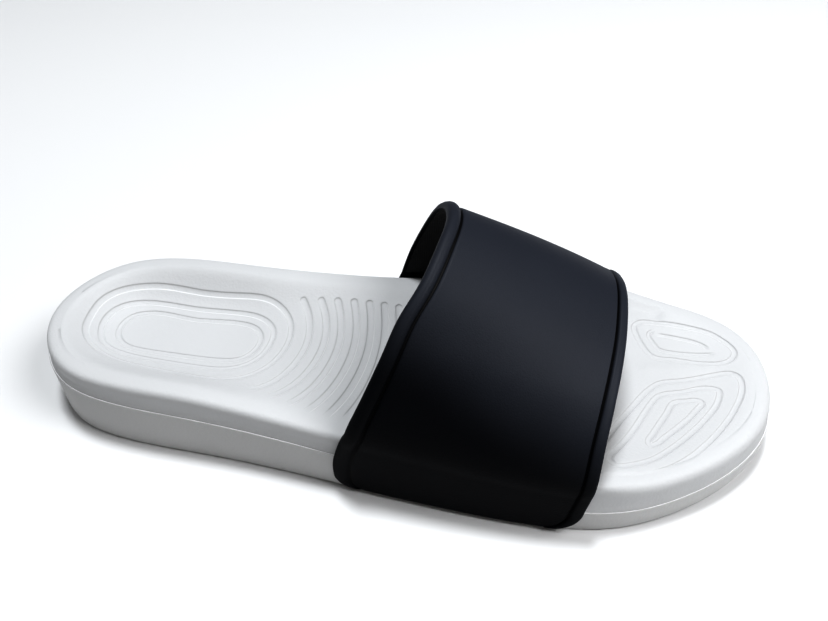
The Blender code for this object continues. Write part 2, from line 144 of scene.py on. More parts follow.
# coat weight where the painted sheen is full
SHEEN_COAT = 0.14
FOAM_SPECULAR = 0.42
STRAP_SPECULAR = 0.07
COAT_ROUGHNESS = 0.45
STRAP_BUMP = 0.0002
STRAP_HEIGHT = 0.6           # of the fine grain and of the cells, each as a share of STRAP_BUMP
KNIT_BUMP = 0.0003
KNIT_STRENGTH = 0.5
RIB_HEIGHT = 0.5             # of each run of ribs and of the fuzz, as shares of KNIT_BUMP
FUZZ_HEIGHT = 0.4
FUZZ_TONE = 0.3
FLOOR_ROUGHNESS = 0.75

DUST_LEVEL = 0.58            # dust lies where its noise is above this
DUST_CONTRAST = 4.0
SPECK_HEIGHT = 0.6           # these three are heights in the foam's skin
PEBBLE_HEIGHT = 0.7
CLOUD_HEIGHT = 0.8
PEBBLE_SCALE = 900.0
STRAP_CELL_SCALE = 1700.0
RIB_SCALE = 420.0
RIB_DISTORTION = 1.2

# Noises of the finishes, in the shader's own units
Grain = namedtuple("Grain", "scale detail roughness")
FOAM_CLOUD = Grain(34.0, 4.0, 0.55)
FOAM_SPECK = Grain(1300.0, 2.0, 0.6)
FOAM_DUST = Grain(85.0, 5.0, 0.7)
STRAP_FINE = Grain(2300.0, 2.0, 0.6)
STRAP_CLOUD = Grain(40.0, 3.0, 0.5)
KNIT_FUZZ = Grain(1900.0, 2.0, 0.6)
FLOOR_CLOUD = Grain(3.0, 2.0, 0.5)

# A base, and how much of a finish's clouds and of its fine grain is added to it
Blend = namedtuple("Blend", "base cloud grain")
FOAM_TONE = Blend(0.0, 0.6, 0.4)
FOAM_ROUGHNESS = Blend(0.50, 0.10, 0.04)
STRAP_TONE = Blend(0.25, 0.5, 0.25)
STRAP_ROUGHNESS = Blend(0.52, 0.06, 0.08)
KNIT_ROUGHNESS = Blend(0.80, 0.0, 0.12)

# Sockets of the mix node that share their names with others
MIX_SHARE = 0
MIX_FIRST = 6
MIX_SECOND = 7
MIX_RESULT = 2

# Painted highlight and painted shade on the two lips of each footbed groove
LIP_PAINTED_HIGHLIGHT = (0.74, 0.74, 0.75)
LIP_PAINTED_SHADE = (0.36, 0.36, 0.36)
# Painted highlight along the outsole's ledge
LEDGE_PAINTED_HIGHLIGHT = (0.84, 0.84, 0.86)
DUST = (0.42, 0.41, 0.39)
FOOTBED_LIGHT = (0.560, 0.566, 0.576)
FOOTBED_SHADE = (0.535, 0.541, 0.551)
OUTSOLE_LIGHT = (0.550, 0.551, 0.552)
OUTSOLE_SHADE = (0.525, 0.526, 0.527)
# The strap's tones: deep ones low down and on the flaps, sheen ones towards its upper front; the change from
# deep to sheen is painted shade and painted sheen
DEEP_SHADE = (0.0012, 0.0015, 0.0028)
DEEP_LIGHT = (0.0022, 0.0028, 0.0046)
SHEEN_SHADE = (0.0215, 0.0245, 0.0335)
SHEEN_LIGHT = (0.0285, 0.0325, 0.0440)
# painted shade in the strap's deep grooves
CREASE_PAINTED_SHADE = (0.0010, 0.0012, 0.0018)
KNIT_SHADE = (0.0009, 0.0011, 0.0016)
KNIT_LIGHT = (0.0030, 0.0034, 0.0044)
FLOOR_SHADE = (0.715, 0.718, 0.725)
FLOOR_LIGHT = (0.725, 0.728, 0.735)

# Camera: place in the sole's own frame, turn in radians, and lens and sensor in millimetres
CAMERA_PLACE = (0.1857, -0.2091, 0.2435)
CAMERA_AZIMUTH = 0.170308
CAMERA_ELEVATION = 0.750000
CAMERA_ROLL = -0.029395
CAMERA_LENS = 33.915
CAMERA_SENSOR = 36
VIEW_GAMMA = 0.72

FLOOR_SIZE = 8
FLOOR_DROP = 0.0003
SKY_TONE = (1.0, 0.975, 0.94)
SKY_STRENGTH = 0.098

# Studio lights: disc lights whose power is a share of the key's
Lamp = namedtuple("Lamp", "name place aim size share tint")
LAMPS = (
    Lamp("key", (-0.14, 0.36, 2.10), (0, 0, 0), 0.48, 1.0, (0.955, 0.98, 1.0)),
    Lamp("low_fill", (0.10, -1.50, 0.22), (0, 0, 0.02), 0.7, 0.045, (1.0, 0.96, 0.90)),
    Lamp("rear_fill", (-0.62, 0.05, 0.85), (-0.03, 0, 0.03), 0.5, 0.034, (0.97, 0.985, 1.0)),
    Lamp("toe_fill", (0.60, -0.10, 0.75), (0.12, 0, 0), 0.5, 0.200, (1.0, 1.0, 1.0)),
)

SIDE_POINTS = 460            # steps along each side of the sole
BED_POINTS = 150             # and across it
STRAP_TURN = 230             # steps around the strap
STRAP_CROWD = 0.11           # how much closer together its rows lie down the flaps
STRAP_PANEL = 26             # steps along it between its two edges
EDGE_ROWS = 6
WALL_ROWS = 14
WALL_CROWD = 1.5
TREAD_POINTS = 60
OUTLINE_STEPS = 4000
GROOVE_STEP = 0.0003
TRAIL_STEPS = 60
ARCH_STEP = 0.25             # in millimetres
LINING_ROWS = 120
LINING_COLUMNS = 40
NORMAL_STEP = 0.001          # share of the strap over which its slope is taken
TOUCHING = 1e-6              # a point nearer than this lies on a groove's middle line
SHARP_ANGLE = 60
LINING_SHARP_ANGLE = 40

# Shares of SOLE_LENGTH along, and of BALL_WIDTH to the little-toe and big-toe sides
Outline = namedtuple("Outline", "along lateral medial")
OUTLINE = (
    Outline(0.018, 0.158, 0.175),
    Outline(0.070, 0.294, 0.309),
    Outline(0.140, 0.351, 0.355),
    Outline(0.246, 0.378, 0.346),
    Outline(0.368, 0.409, 0.331),
    Outline(0.491, 0.453, 0.351),
    Outline(0.596, 0.486, 0.415),
    Outline(0.702, 0.507, 0.483),
    Outline(0.789, 0.491, 0.493),
    Outline(0.877, 0.398, 0.430),
    Outline(0.940, 0.278, 0.368),
    Outline(0.982, 0.137, 0.262),
)

# Shares of SOLE_LENGTH along, of RIM_HEIGHT at each side, and of LEDGE_HEIGHT and BED_HEIGHT
Level = namedtuple("Level", "along medial_rim lateral_rim ledge bed")
LEVELS = (
    Level(0.000, 0.958, 0.958, 1.005, 0.827),
    Level(0.070, 0.968, 0.972, 0.995, 0.796),
    Level(0.160, 0.981, 0.988, 0.972, 0.788),
    Level(0.250, 0.994, 0.982, 0.940, 0.815),
    Level(0.330, 1.003, 0.926, 0.889, 0.885),
    Level(0.420, 1.000, 0.862, 0.819, 0.955),
    Level(0.500, 0.971, 0.828, 0.750, 0.940),
    Level(0.630, 0.884, 0.784, 0.602, 0.838),
    Level(0.720, 0.800, 0.752, 0.500, 0.758),
    Level(0.785, 0.738, 0.732, 0.451, 0.727),
    Level(0.830, 0.703, 0.657, 0.435, 0.704),
    Level(0.900, 0.671, 0.635, 0.463, 0.692),
    Level(1.000, 0.658, 0.658, 0.560, 0.720),
)

# Up the footbed's wall: share of the way from ledge to shoulder, and share of CHANNEL_DEPTH
Wall = namedtuple("Wall", "up hollow")
WALLS = (
    Wall(0.00, 0.85),
    Wall(0.25, 1.00),
    Wall(0.55, 0.90),
    Wall(0.80, 0.45),
    Wall(1.00, 0.00),
)

# The strap's rear and front edges from the little-toe flap over the foot to the big-toe flap: shares of
# STRAP_LEAN or STRAP_BOW along, of the sole's half width across, and of the rise above the rim, which below
# 0 are shares of the way down the flap
Fold = namedtuple("Fold", "rear_along rear_across rear_up front_along front_across front_up")
FOLDS = (
    Fold(-0.15, -1.000, -1.000, -0.50, -1.000, -1.000),
    Fold(-0.15, -1.000, -0.600, -0.46, -1.000, -0.600),
    Fold(-0.05, -1.000, -0.200, -0.26, -1.000, -0.200),
    Fold(0.07, -0.998, 0.060, -0.11, -0.990, 0.100),
    Fold(0.25, -0.890, 0.302, 0.03, -0.885, 0.425),
    Fold(0.45, -0.695, 0.557, 0.32, -0.690, 0.675),
    Fold(0.60, -0.469, 0.730, 0.61, -0.475, 0.825),
    Fold(0.81, -0.205, 0.872, 0.83, -0.237, 0.930),
    Fold(0.95, 0.120, 0.975, 0.93, 0.020, 0.995),
    Fold(1.00, 0.370, 1.000, 0.93, 0.220, 0.955),
    Fold(0.93, 0.610, 0.945, 0.88, 0.420, 0.805),
    Fold(0.76, 0.825, 0.780, 0.83, 0.600, 0.610),
    Fold(0.55, 0.955, 0.505, 0.88, 0.780, 0.340),
    Fold(0.35, 0.995, 0.213, 0.97, 0.935, 0.090),
    Fold(0.18, 1.000, -0.150, 1.05, 1.000, -0.150),
    Fold(0.10, 1.000, -0.600, 1.05, 1.000, -0.600),
    Fold(0.08, 1.000, -1.000, 1.05, 1.000, -1.000),
)

# The strap's outside next to its rear and front edges, in millimetres: place forwards from that edge, and
# rise above the plain wall
Profile = namedtuple("Profile", "place rise")
REAR_PROFILE = (
    Profile(0.00, -1.70),
    Profile(0.10, -0.90),
    Profile(0.45, -0.10),
    Profile(1.05, 0.52),
    Profile(1.80, 0.90),
    Profile(2.50, 1.00),
    Profile(3.20, 0.88),
    Profile(3.90, 0.50),
    Profile(4.35, -0.05),
    Profile(4.60, -0.80),
    Profile(5.20, -0.90),
    Profile(5.50, -0.15),
    Profile(6.40, 0.00),
)
FRONT_PROFILE = (
    Profile(-5.20, 0.00),
    Profile(-4.20, 0.10),
    Profile(-3.85, -0.60),
    Profile(-3.30, -0.75),
    Profile(-3.05, 0.15),
    Profile(-2.70, 0.46),
    Profile(-2.10, 0.54),
    Profile(-1.40, 0.52),
    Profile(-0.90, 0.44),
    Profile(-0.50, 0.22),
    Profile(-0.20, -0.20),
    Profile(-0.05, -0.80),
    Profile(0.00, -1.40),
)

# Closed grooves of the footbed: middle lines in millimetres from the heel and from the sole's axis
RINGS = (
    ((15.9, -6.8), (14.1, 3.2), (15.3, 10.3), (22, 18.6), (35.5, 23.2), (54.6, 22.3),
     (72.7, 21.6), (86.4, 19.6), (95.6, 11.9), (98.6, -0.6), (95.3, -12.4), (84.0, -22.3),
     (71.0, -24.2), (54.1, -22.2), (32.6, -18.6), (21.5, -13.4)),
    ((20.3, -3.9), (19.1, 3.2), (21.5, 9.8), (27.5, 14.6), (37, 16.3), (54, 15.2),
     (73, 14.3), (85, 11.2), (90.8, 5.0), (91.5, -2.0), (89.2, -9.6), (81.5, -15.8),
     (68, -17), (51, -15.6), (33, -13.3), (24, -9.6)),
    ((27.2, -3.4), (26.2, 2.7), (28.6, 8.0), (34.5, 10.9), (54.1, 9.6), (76, 8.8),
     (83.4, 5.9), (86.7, 0.6), (86.2, -5.6), (82.2, -10.6), (75, -12.1), (57.6, -11.3),
     (40.2, -10.1), (31, -7.6)),
    ((237.1, 32.2), (243.1, 33.1), (251.0, 32.6), (258.8, 31.2), (266.2, 28.4), (269.7, 25.4),
     (272.3, 22.3), (273.4, 19.6), (272.7, 17.0), (270.7, 14.9), (264.7, 13.4), (257.3, 13.6),
     (249.7, 14.3), (242.1, 15.1), (238.9, 19.6), (236.1, 27.3), (235.8, 30.5)),
    ((219, -35.5), (225.2, -24.9), (232.9, -12.6), (236.9, -6.5), (241.0, -1.4), (244.1, 1.1),
     (248.7, 2.6), (256.4, 4.8), (264.0, 7.4), (267.7, 8.4), (270.9, 8.5), (273.1, 6.9),
     (273.9, 4.1), (271.8, -5.2), (263.9, -19.1), (255.7, -29.5), (248.0, -36.9), (240.9, -41.5),
     (234.0, -45.0), (227.9, -47.4), (219, -47.5), (215.5, -43)),
    ((223.6, -38.3), (225.0, -35.6), (232.3, -24.3), (240.5, -8.8), (242.9, -5.7), (246.3, -3.9),
     (252.0, -2.3), (263.8, 0.5), (265.3, -0.3), (265.4, -2.3), (260.8, -12.2), (253.3, -22.0),
     (245.5, -30.4), (238.1, -36.8), (229.3, -41.5), (225.6, -42.3), (224.0, -40.8)),
    ((237.7, -28.4), (238.8, -25.6), (241.1, -21.4), (243.5, -17.0), (245.9, -12.4), (248.0, -8.6),
     (250.2, -7.3), (253.6, -6.6), (257.0, -5.9), (258.5, -6.8), (257.3, -9.4), (254.0, -13.9),
     (250.3, -18.3), (246.4, -22.5), (242.5, -26.8), (239.9, -29.3), (238.1, -29.6)),
)

# Open grooves inside the big-toe ring, in the same millimetres
TRAILS = (
    ((244.2, 29.2), (241.9, 28.0), (241.4, 26.4), (241.9, 24.6), (244.4, 20.0), (246.2, 18.9), (250.0, 18.3),
     (257.7, 18.1), (266.5, 18.6)),
    ((244.0, 27.1), (248.7, 26.7), (254.5, 25.7), (258.3, 24.8), (261.9, 23.1), (264.4, 20.9)),
)

# Soft ridges and, below 0, hollows of the bed in millimetres: two ends, half width and height
Swell = namedtuple("Swell", "start end half height")
SWELLS = (
    Swell((240, 8.0), (262, 10.8), 3.2, 0.30),
    Swell((226, 43.5), (244, 38.0), 3.4, -1.20),
    Swell((224, 49.5), (244, 43.5), 2.4, 0.40),
)

# Arched grooves behind the strap, in millimetres: foremost place, radius, middle of the arch across,
# and where it ends at the arch side and fades out at the other side
Arch = namedtuple("Arch", "tip radius middle blunt fade")
ARCHES = (
    Arch(106.4, 36, -0.6, 20.2, -31),
    Arch(113.3, 43, -1.2, 20.4, -33),
    Arch(119.4, 54, -2.0, 20.6, -36),
    Arch(125.6, 66, -2.5, 20.8, -38),
    Arch(131.4, 80, -3.0, 20.8, -39),
    Arch(137.0, 95, -3.0, 20.8, -39),
    Arch(142.6, 110, -3.0, 20.8, -39),
)
ARCH_FADE = 5                # length of the faint end, in millimetres
TRAIL_FADE = 2.5


class SandalSettings(bpy.types.PropertyGroup):
    """Sizes and strengths that change the look without changing the fit."""

    groove_depth: FloatProperty(
        name="Groove depth", description="Depth of the footbed's grooves", default=0.00028, unit="LENGTH")
    groove_edge: FloatProperty(
        name="Groove edge", description="Further depth of the crisp lip, made by the finish", default=0.00016,
        unit="LENGTH")
    groove_half: FloatProperty(
        name="Groove half width", description="From a ring's middle line to its lip", default=0.00135,
        unit="LENGTH")
    groove_wall: FloatProperty(
        name="Groove wall", description="Width of a groove's sloping wall", default=0.0008, unit="LENGTH")
    foam_grain: FloatProperty(
        name="Foam grain", description="Strength of the foam's skin texture", default=0.32, subtype="FACTOR")
    strap_grain: FloatProperty(
        name="Strap grain", description="Strength of the strap's fine grain", default=0.50, subtype="FACTOR")
    key_strength: FloatProperty(
        name="Key light", description="Power of the large light overhead", default=37.0, unit="POWER")


def column(rows, name):
    """One named column of a table as an array."""
    return np.array([getattr(row, name) for row in rows])


def smooth_curve(knots, values, places):
    """A smooth curve through values at knots, read at places."""
    knots = np.asarray(knots, float)
    values = np.asarray(values, float)
    slopes = np.gradient(values, knots)
    places = np.clip(places, knots[0], knots[-1])
    k = np.clip(np.searchsorted(knots, places) - 1, 0, len(knots) - 2)
    width = knots[k + 1] - knots[k]
    t = (places - knots[k]) / width
    start = (1 + 2 * t) * (1 - t) ** 2 * values[k] + t * (1 - t) ** 2 * width * slopes[k]
    end = t ** 2 * (3 - 2 * t) * values[k + 1] + t ** 2 * (t - 1) * width * slopes[k + 1]
    return start + end


def ramp(value, start, end):
    """0 before start, 1 after end, and a soft step between them."""
    t = np.clip((value - start) / (end - start), 0, 1)
    return t * t * (3 - 2 * t)


def closed_spline(points, places):
    """A closed cubic spline through points, read at places counted in points."""
    points = np.asarray(points, float)
    n = len(points)
    steps = np.linalg.norm(np.roll(points, -1, 0) - points, axis=1)
    before = np.roll(steps, 1)
    system = np.zeros((n, n))
    for i in range(n):
        system[i, i - 1] += steps[i]
        system[i, i] += 2 * (steps[i] + before[i])
        system[i, (i + 1) % n] += before[i]
    back = (points - np.roll(points, 1, 0)) / before[:, None]
    ahead = (np.roll(points, -1, 0) - points) / steps[:, None]
    slopes = np.linalg.solve(system, 3 * (steps[:, None] * back + before[:, None] * ahead))
    k = np.floor(places).astype(int) % n
    t = (places - np.floor(places))[:, None]
    following = (k + 1) % n
    width = steps[k][:, None]
    start = (1 + 2 * t) * (1 - t) ** 2 * points[k] + t * (1 - t) ** 2 * width * slopes[k]
    end = t ** 2 * (3 - 2 * t) * points[following] + t ** 2 * (t - 1) * width * slopes[following]
    return start + end


def resample(points, count):
    """The same open line with count equal steps."""
    steps = np.linalg.norm(np.diff(points, axis=0), axis=1)
    run = np.concatenate([[0], np.cumsum(steps)])
    places = np.linspace(0, run[-1], count + 1)
    return np.column_stack([np.interp(places, run, points[:, 0]), np.interp(places, run, points[:, 1])])


def outline_sides(count):
    """Both sides of the sole from heel to toe, each with count steps."""
    along = column(OUTLINE, "along") * SOLE_LENGTH
    lateral = np.column_stack([along, -column(OUTLINE, "lateral") * BALL_WIDTH])
    medial = np.column_stack([along, column(OUTLINE, "medial") * BALL_WIDTH])
    knots = np.vstack([[0, 0], lateral, [SOLE_LENGTH, TOE_OFFSET], medial[::-1]])
    toe = len(OUTLINE) + 1
    fine = np.linspace(0, 1, OUTLINE_STEPS)
    lateral_line = closed_spline(knots, fine * toe)
    medial_line = closed_spline(knots, toe + (1 - fine) * toe)
    return resample(lateral_line, count), resample(medial_line, count)


LATERAL, MEDIAL = outline_sides(SIDE_POINTS)
LOOP = np.vstack([LATERAL, MEDIAL[-2:0:-1]])
SHIFT = np.array([-SOLE_LENGTH / 2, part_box("outsole")[0].y + LEDGE_STEP - LOOP[:, 1].min(), 0])


def side_y(side, x):
    """How far across a side of the sole lies at x."""
    order = np.argsort(side[:, 0])
    return np.interp(x, side[order, 0], side[order, 1])


def level_height(name, x, size):
    """One column of LEVELS as heights along the sole."""
    return smooth_curve(column(LEVELS, "along") * SOLE_LENGTH, column(LEVELS, name) * size, x)


def rim_z(x):
    """Height of the footbed's edge on the big-toe side."""
    return level_height("medial_rim", x, RIM_HEIGHT)


def edge_z(x, y):
    """Height of the footbed's edge, lower along the little-toe side's waist than along the big-toe side's."""
    lateral = level_height("lateral_rim", x, RIM_HEIGHT)
    return rim_z(x) + (lateral - rim_z(x)) * ramp(-y, -RIM_BLEND, RIM_BLEND)


def ledge_z(x):
    """Height of the ledge where the footbed stands on the outsole."""
    return level_height("ledge", x, LEDGE_HEIGHT)


def tread_z(x):
    """Height of the tread: flat on the floor, up at the toe and bevelled at the heel."""
    spring = np.clip((x - TOE_SPRING_START) / (SOLE_LENGTH - TOE_SPRING_START), 0, TREAD_BEYOND)
    bevel = np.clip((HEEL_BEVEL_END - x) / HEEL_BEVEL_END, 0, TREAD_BEYOND)
    return TOE_SPRING * spring ** 2 + HEEL_BEVEL * bevel ** 2


def nearest(points, targets):
    """For each point, the distance to the nearest target and its number."""
    tree = KDTree(len(targets))
    for k, target in enumerate(targets):
        tree.insert((target[0], target[1], 0), k)
    tree.balance()
    found = [tree.find((p[0], p[1], 0)) for p in points]
    return np.array([f[2] for f in found]), np.array([f[1] for f in found])


def groove_lines():
    """Places along the middle of every groove, with shares of the full depth and extra half widths."""
    places = []
    depths = []
    extra = []
    for ring in RINGS:
        knots = np.array(ring) / 1000
        length = np.linalg.norm(np.roll(knots, -1, 0) - knots, axis=1).sum()
        fine = np.arange(0, len(knots), GROOVE_STEP * len(knots) / length)
        places.append(closed_spline(knots, fine))
        depths.append(np.ones(len(fine)))
        extra.append(np.zeros(len(fine)))
    for trail in TRAILS:
        fine = np.linspace(0, len(trail) - 1, TRAIL_STEPS * len(trail))
        numbers = np.arange(len(trail))
        line = np.column_stack([smooth_curve(numbers, axis, fine) for axis in np.array(trail).T])
        places.append(line / 1000)
        run = np.concatenate([[0], np.cumsum(np.linalg.norm(np.diff(line, axis=0), axis=1))])
        depths.append(ramp(run, 0, TRAIL_FADE) * ramp(run[-1] - run, 0, TRAIL_FADE))
        extra.append(np.full(len(fine), -TRAIL_NARROWER))
    for arch in ARCHES:
        across = np.arange(arch.fade, arch.blunt, ARCH_STEP)
        drop = arch.radius - np.sqrt(arch.radius ** 2 - (across - arch.middle) ** 2)
        places.append(np.column_stack([arch.tip - drop, across]) / 1000)
        depths.append(ramp(across, arch.fade, arch.fade + ARCH_FADE))
        extra.append(np.full(len(across), ARCH_WIDER))
    return np.vstack(places), np.concatenate(depths), np.concatenate(extra)


def bed_heights(points, shares, settings):
    """Heights of the bed, how far past the nearest lip, that groove's share of depth, and on which side."""
    x = points[:, 0]
    inside = nearest(points, LOOP)[0] - SHOULDER_RADIUS
    edge = np.clip(1 - inside / CUP_WIDTH, 0, 1)
    start, full, fade, end = ARCH_ALONG
    along = x / SOLE_LENGTH
    arch = ramp(along, start, full) * (1 - ramp(along, fade, end)) * ramp(shares, *ARCH_ACROSS)
    middle = level_height("bed", x, BED_HEIGHT) + ARCH_RISE * arch
    rise = edge_z(x, points[:, 1]) - middle
    smooth = middle + rise * edge ** CUP_POWER * (1 + CUP_POWER * (1 - edge))
    for swell in SWELLS:
        start, end = np.array(swell.start) / 1000, np.array(swell.end) / 1000
        share = np.clip((points[:, :2] - start) @ (end - start) / ((end - start) @ (end - start)), 0, 1)
        off = np.linalg.norm(points[:, :2] - start - share[:, None] * (end - start), axis=1)
        smooth = smooth + swell.height / 1000 * np.exp(-(off / swell.half * 1000) ** 2)
    places, depths, extra = groove_lines()
    away, number = nearest(points, places)
    # which side of its groove a point lies on: towards 1 at the lip painted with highlight, towards -1 at the
    # lip painted with shade
    beyond = (points[:, :2] - places[number]) @ LIT_LIP / np.maximum(away, TOUCHING)
    lip = settings.groove_half + extra[number]
    wall = 1 - ramp(away - lip, -settings.groove_wall, 0)
    return smooth - settings.groove_depth * wall * depths[number], away - lip, depths[number], beyond


def mesh_object(name, vertices, faces, sharp_angle=SHARP_ANGLE):
    """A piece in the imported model's frame, shaded smooth."""
    mesh = bpy.data.meshes.new(name)
    mesh.from_pydata((np.asarray(vertices) + SHIFT).tolist(), [], faces)
    mesh.shade_smooth()
    mesh.set_sharp_from_angle(angle=math.radians(sharp_angle))
    piece = bpy.data.objects.new(name, mesh)
    bpy.context.scene.collection.objects.link(piece)
    return piece


def add_attribute(piece, name, values):
    """Keeps one number for each vertex, for the finish to read."""
    attribute = piece.data.attributes.new(name, "FLOAT", "POINT")
    attribute.data.foreach_set("value", np.asarray(values, np.float32))


def wall_faces(rings):
    """Faces between rings that are stacked in order."""
    count = len(LOOP)
    faces = []
    for below in range(0, (len(rings) - 1) * count, count):
        above = below + count
        for i in range(count):
            after = (i + 1) % count
            faces.append((below + i, below + after, above + after, above + i))
    return faces


def grid_faces(rows):
    """Faces between rows of vertex numbers."""
    faces = []
    for row, after in zip(rows[:-1], rows[1:]):
        for k in range(len(row) - 1):
            faces.append((row[k], after[k], after[k + 1], row[k + 1]))
    return faces


def cap_faces(rows, heel, toe):
    """A grid of rows across the sole, closed by fans at heel and toe."""
    faces = grid_faces(rows)
    faces += [(heel, rows[0][k], rows[0][k + 1]) for k in range(len(rows[0]) - 1)]
    faces += [(toe, rows[-1][k + 1], rows[-1][k]) for k in range(len(rows[-1]) - 1)]
    return faces


def flat_cap(first):
    """A plain cap over the ring whose vertices start at first."""
    rows = [(first + j, first + len(LOOP) - j) for j in range(1, SIDE_POINTS)]
    return cap_faces(rows, first, first + SIDE_POINTS)


def cross_rows(ring, first, across, next_number):
    """Rows of vertex numbers across the sole, and the new places between its sides with their shares."""
    rows = []
    places = []
    shares = []
    count = len(LOOP)
    for j in range(1, SIDE_POINTS):
        left = ring[j]
        right = ring[count - j]
        inner = range(next_number + len(places), next_number + len(places) + across - 1)
        rows.append([first + j, *inner, first + count - j])
        for k in range(1, across):
            places.append(left + (right - left) * k / across)
            shares.append(2 * k / across - 1)
    return rows, np.array(places), np.array(shares)


def outline_ring(offset, height):
    """The sole's outline moved outwards, at a height."""
    ahead = np.roll(LOOP, -1, 0) - np.roll(LOOP, 1, 0)
    ahead /= np.linalg.norm(ahead, axis=1)[:, None]
    normals = np.column_stack([ahead[:, 1], -ahead[:, 0]])
    moved = LOOP + normals * np.broadcast_to(offset, len(LOOP))[:, None]
    return np.column_stack([moved, np.broadcast_to(height, len(LOOP))])


def build_footbed(settings):
    """The upper sole with its plug, arch hollow, soft shoulder and grooved bed."""
    x = LOOP[:, 0]
    window = ramp(x, CHANNEL_START, CHANNEL_START + CHANNEL_FADE)
    window = window * (1 - ramp(x, CHANNEL_END - CHANNEL_FADE, CHANNEL_END)) * (LOOP[:, 1] > 0)
    foot = ledge_z(x) - SKIN_SINK
    shoulder = edge_z(x, LOOP[:, 1]) - SHOULDER_RADIUS
    ups = np.linspace(0, 1, WALL_ROWS) ** WALL_CROWD
    hollows = smooth_curve(column(WALLS, "up"), column(WALLS, "hollow"), ups)
    plug = -POCKET_INSET - SKIN_GAP
    rings = [outline_ring(plug, foot - POCKET_DEPTH + SKIN_GAP), outline_ring(plug, foot)]
    for up, hollow in zip(ups[:-1], hollows[:-1]):
        cove = COVE * np.clip(1 - (shoulder - foot) * up / COVE_HEIGHT, 0, 1) ** 2
        rings.append(outline_ring(cove - window * CHANNEL_DEPTH * hollow, foot + (shoulder - foot) * up))
    power = 2 / (SHOULDER_POWER + (TOE_POWER - SHOULDER_POWER) * ramp(x, TOE_ROUND_START, TOE_ROUND_END))
    for turn in np.radians(SHOULDER_TURNS):
        height = shoulder + SHOULDER_RADIUS * math.sin(turn) ** power
        rings.append(outline_ring(-SHOULDER_RADIUS * (1 - math.cos(turn) ** power), height))
    faces = wall_faces(rings) + flat_cap(0)
    vertices = np.vstack(rings)
    first = len(vertices) - len(LOOP)
    rows, places, shares = cross_rows(rings[-1], first, BED_POINTS, len(vertices))
    places[:, 2], past, share, beyond = bed_heights(places, shares, settings)
    faces += cap_faces(rows, first, first + SIDE_POINTS)
    footbed = mesh_object("footbed_skin", np.vstack([vertices, places]), faces)
    add_attribute(footbed, "past_lip", np.concatenate([np.full(len(vertices), FAR_FROM_LIP), past]) * 1000)
    add_attribute(footbed, "groove_share", np.concatenate([np.zeros(len(vertices)), share]))
    # which lip of a groove gets painted highlight and which gets painted shade
    add_attribute(footbed, "lip_side", np.concatenate([np.zeros(len(vertices)), beyond]))
    return footbed


def build_outsole():
    """The lower band with its rounded foot, cross channels, ledge and pocket."""
    x = LOOP[:, 0]
    rings = []
    for turn in np.radians(np.linspace(0, 90, EDGE_ROWS)):
        height = tread_z(x) + TREAD_ROUND * (1 - math.cos(turn))
        rings.append(outline_ring(LEDGE_STEP - TREAD_ROUND * (1 - math.sin(turn)), height))
    for turn in np.radians(np.linspace(0, 90, EDGE_ROWS)):
        height = ledge_z(x) - LEDGE_ROUND * (1 - math.sin(turn))
        rings.append(outline_ring(LEDGE_STEP - LEDGE_ROUND * (1 - math.cos(turn)), height))
    lip = len(rings) - 1
    rings.append(outline_ring(-POCKET_INSET, ledge_z(x)))
    rings.append(outline_ring(-POCKET_INSET, ledge_z(x) - POCKET_DEPTH))
    faces = wall_faces(rings)
    vertices = np.vstack(rings)
    rows, places, shares = cross_rows(rings[0], 0, TREAD_POINTS, len(vertices))
    cut = np.zeros(len(places))
    left = places[:, 1] - side_y(LATERAL, places[:, 0])
    right = side_y(MEDIAL, places[:, 0]) - places[:, 1]
    reach = np.minimum(left, right)
    for start in TREAD_STARTS:
        away = np.abs(places[:, 0] - start - TREAD_CHANNEL / 2) - TREAD_CHANNEL / 2
        cut = np.maximum(cut, 1 - ramp(away, -TREAD_SOFT, TREAD_SOFT / 2))
    cut = cut * ramp(reach, TREAD_MARGIN - TREAD_SOFT, TREAD_MARGIN + TREAD_SOFT)
    places[:, 2] = tread_z(places[:, 0]) + TREAD_DEPTH * cut
    faces += [face[::-1] for face in cap_faces(rows, 0, SIDE_POINTS)]
    faces += flat_cap(len(vertices) - len(LOOP))
    outsole = mesh_object("outsole_skin", np.vstack([vertices, places]), faces)
    # marks the ledge's lip ring, which the finish paints lighter as a painted highlight
    ledge = np.zeros(len(vertices) + len(places))
    ledge[lip * len(LOOP):(lip + 1) * len(LOOP)] = 1
    add_attribute(outsole, "ledge", ledge)
    return outsole


def corner_inset(height, radius):
    """How far a flap's rounded corner draws its edge in at a height."""
    left = np.clip(radius - height, 0, radius)
    return radius - np.sqrt(radius ** 2 - left ** 2)


